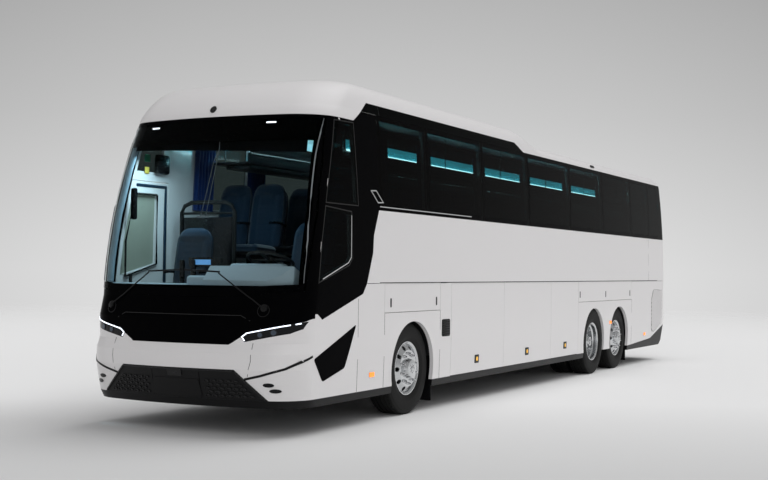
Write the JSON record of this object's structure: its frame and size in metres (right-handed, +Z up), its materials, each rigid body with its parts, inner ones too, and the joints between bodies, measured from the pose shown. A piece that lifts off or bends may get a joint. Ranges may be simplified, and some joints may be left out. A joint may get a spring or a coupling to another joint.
{
  "type": "coach bus",
  "caption": "Touring coach with raised front roof, tandem rear axle, hinged luggage doors, swing entry door, steering and rolling wheels.",
  "frame": {"origin": "on the ground under the middle of the body", "axes": "-Y towards the nose, +X to the driver side (vehicle left), +Z up"},
  "size_m": [2.551, 13.7018, 3.6],
  "materials": {
    "white_paint": "gloss",
    "black_gloss": "gloss",
    "black_plastic": "satin",
    "tinted_glass": "gloss",
    "lamp_clear": "gloss",
    "lamp_red": "gloss",
    "frame_paint": "satin",
    "cast_iron": "rough",
    "wheel_alloy": "polished",
    "tyre": "matte",
    "floor": "matte",
    "wheel_trim": "satin",
    "seat_cloth": "matte",
    "curtain_cloth": "matte",
    "rack_plastic": "satin"
  },
  "bodies": {
    "body": {"chassis_frame": "frame_paint", "front_axle_beam": "cast_iron", "drive_axle": "cast_iron", "tag_axle": "cast_iron", "cabin_floor": "floor", "underbody": "frame_paint", "side_wall_left": "white_paint", "side_wall_right": "white_paint", "roof": "white_paint", "front_mask": "black_gloss", "front_bumper": "white_paint", "bumper_grille": "black_plastic", "rear_wall": "white_paint", "lower_valance": "black_plastic", "windscreen": "tinted_glass", "side_windows_left": "tinted_glass", "side_windows_right": "tinted_glass", "rear_window": "tinted_glass", "headlamps": "lamp_clear", "tail_lamps": "lamp_red", "engine": "cast_iron", "mudflaps": "black_plastic", "wipers": "black_plastic", "dashboard": "black_plastic", "crew_seats": "seat_cloth", "passenger_seats_left": "seat_cloth", "passenger_seats_right": "seat_cloth", "luggage_racks": "rack_plastic", "curtains": "curtain_cloth"},
    "steering_wheel": {"steering_wheel": "wheel_trim"},
    "knuckle_left": {"knuckle_left": "cast_iron"},
    "front_wheel_left": {"front_rim_left": "wheel_alloy", "front_tyre_left": "tyre"},
    "drive_wheel_left": {"drive_rim_left": "wheel_alloy", "drive_tyre_left": "tyre"},
    "tag_wheel_left": {"tag_rim_left": "wheel_alloy", "tag_tyre_left": "tyre"},
    "luggage_door_left_1": {"luggage_door_left_1": "white_paint"},
    "luggage_door_left_2": {"luggage_door_left_2": "white_paint"},
    "luggage_door_left_3": {"luggage_door_left_3": "white_paint"},
    "front_wheel_flap_left": {"front_wheel_flap_left": "white_paint"},
    "rear_wheel_flap_left": {"rear_wheel_flap_left": "white_paint"},
    "knuckle_right": {"knuckle_right": "cast_iron"},
    "front_wheel_right": {"front_rim_right": "wheel_alloy", "front_tyre_right": "tyre"},
    "drive_wheel_right": {"drive_rim_right": "wheel_alloy", "drive_tyre_right": "tyre"},
    "tag_wheel_right": {"tag_rim_right": "wheel_alloy", "tag_tyre_right": "tyre"},
    "luggage_door_right_1": {"luggage_door_right_1": "white_paint"},
    "luggage_door_right_2": {"luggage_door_right_2": "white_paint"},
    "luggage_door_right_3": {"luggage_door_right_3": "white_paint"},
    "front_wheel_flap_right": {"front_wheel_flap_right": "white_paint"},
    "rear_wheel_flap_right": {"rear_wheel_flap_right": "white_paint"},
    "entry_door_arm": {"entry_door_arm": "frame_paint"},
    "entry_door": {"entry_door": "white_paint"},
    "engine_lid": {"engine_lid": "white_paint"},
    "roof_hatch_front": {"roof_hatch_front": "black_plastic"},
    "roof_hatch_rear": {"roof_hatch_rear": "black_plastic"}
  },
  "joints": [
    {"name": "steering_wheel_turn", "type": "hinge", "parent": "body", "child": "steering_wheel", "pos_m": [0.65, -6.15, 1.7], "axis": [0, 0.342, 0.9397], "range_deg": [-540, 540]},
    {"name": "steer_left", "type": "hinge", "parent": "body", "child": "knuckle_left", "pos_m": [0.975, -4.147, 0.515], "axis": [0, 0, 1], "range_deg": [-50, 50]},
    {"name": "front_wheel_spin_left", "type": "hinge", "parent": "knuckle_left", "child": "front_wheel_left", "pos_m": [1.065, -4.147, 0.515], "axis": [1, 0, 0], "continuous": true},
    {"name": "drive_wheel_spin_left", "type": "hinge", "parent": "body", "child": "drive_wheel_left", "pos_m": [1.11, 2.403, 0.515], "axis": [1, 0, 0], "continuous": true},
    {"name": "tag_wheel_spin_left", "type": "hinge", "parent": "body", "child": "tag_wheel_left", "pos_m": [1.075, 3.768, 0.515], "axis": [1, 0, 0], "continuous": true},
    {"name": "luggage_door_left_1_hinge", "type": "hinge", "parent": "body", "child": "luggage_door_left_1", "pos_m": [1.2705, -2.292, 1.466], "axis": [0, 1, 0], "range_deg": [-95, 0]},
    {"name": "luggage_door_left_2_hinge", "type": "hinge", "parent": "body", "child": "luggage_door_left_2", "pos_m": [1.2705, -0.542, 1.466], "axis": [0, 1, 0], "range_deg": [-95, 0]},
    {"name": "luggage_door_left_3_hinge", "type": "hinge", "parent": "body", "child": "luggage_door_left_3", "pos_m": [1.2705, 0.983, 1.466], "axis": [0, 1, 0], "range_deg": [-95, 0]},
    {"name": "front_wheel_flap_left_hinge", "type": "hinge", "parent": "body", "child": "front_wheel_flap_left", "pos_m": [1.2705, -4.157, 1.466], "axis": [0, 1, 0], "range_deg": [-95, 0]},
    {"name": "rear_wheel_flap_left_hinge", "type": "hinge", "parent": "body", "child": "rear_wheel_flap_left", "pos_m": [1.2705, 3.0555, 1.466], "axis": [0, 1, 0], "range_deg": [-95, 0]},
    {"name": "steer_right", "type": "hinge", "parent": "body", "child": "knuckle_right", "pos_m": [-0.975, -4.147, 0.515], "axis": [0, 0, 1], "range_deg": [-50, 50]},
    {"name": "front_wheel_spin_right", "type": "hinge", "parent": "knuckle_right", "child": "front_wheel_right", "pos_m": [-1.065, -4.147, 0.515], "axis": [1, 0, 0], "continuous": true},
    {"name": "drive_wheel_spin_right", "type": "hinge", "parent": "body", "child": "drive_wheel_right", "pos_m": [-1.11, 2.403, 0.515], "axis": [1, 0, 0], "continuous": true},
    {"name": "tag_wheel_spin_right", "type": "hinge", "parent": "body", "child": "tag_wheel_right", "pos_m": [-1.075, 3.768, 0.515], "axis": [1, 0, 0], "continuous": true},
    {"name": "luggage_door_right_1_hinge", "type": "hinge", "parent": "body", "child": "luggage_door_right_1", "pos_m": [-1.2705, -2.292, 1.466], "axis": [0, 1, 0], "range_deg": [0, 95]},
    {"name": "luggage_door_right_2_hinge", "type": "hinge", "parent": "body", "child": "luggage_door_right_2", "pos_m": [-1.2705, -0.542, 1.466], "axis": [0, 1, 0], "range_deg": [0, 95]},
    {"name": "luggage_door_right_3_hinge", "type": "hinge", "parent": "body", "child": "luggage_door_right_3", "pos_m": [-1.2705, 0.983, 1.466], "axis": [0, 1, 0], "range_deg": [0, 95]},
    {"name": "front_wheel_flap_right_hinge", "type": "hinge", "parent": "body", "child": "front_wheel_flap_right", "pos_m": [-1.2705, -4.157, 1.466], "axis": [0, 1, 0], "range_deg": [0, 95]},
    {"name": "rear_wheel_flap_right_hinge", "type": "hinge", "parent": "body", "child": "rear_wheel_flap_right", "pos_m": [-1.2705, 3.0555, 1.466], "axis": [0, 1, 0], "range_deg": [0, 95]},
    {"name": "entry_door_swing", "type": "hinge", "parent": "body", "child": "entry_door_arm", "pos_m": [-1.165, -6.1, 1], "axis": [0, 0, 1], "range_deg": [0, 115]},
    {"name": "entry_door_level", "type": "hinge", "parent": "entry_door_arm", "child": "entry_door", "pos_m": [-1.165, -5.65, 1], "axis": [0, 0, 1], "range_deg": [-115, 0]},
    {"name": "engine_lid_hinge", "type": "hinge", "parent": "body", "child": "engine_lid", "pos_m": [0, 6.841, 1.66], "axis": [1, 0, 0], "range_deg": [0, 80]},
    {"name": "roof_hatch_front_hinge", "type": "hinge", "parent": "body", "child": "roof_hatch_front", "pos_m": [0, -3.904, 3.5743], "axis": [1, 0, 0], "range_deg": [0, 60]},
    {"name": "roof_hatch_rear_hinge", "type": "hinge", "parent": "body", "child": "roof_hatch_rear", "pos_m": [0, 3.296, 3.4483], "axis": [1, 0, 0], "range_deg": [0, 60]}
  ],
  "couplings": [
    {"joint": "steer_left", "follows": "steering_wheel_turn", "ratio": 0.083333},
    {"joint": "steer_right", "follows": "steering_wheel_turn", "ratio": 0.083333},
    {"joint": "entry_door_level", "follows": "entry_door_swing", "ratio": -1}
  ]
}
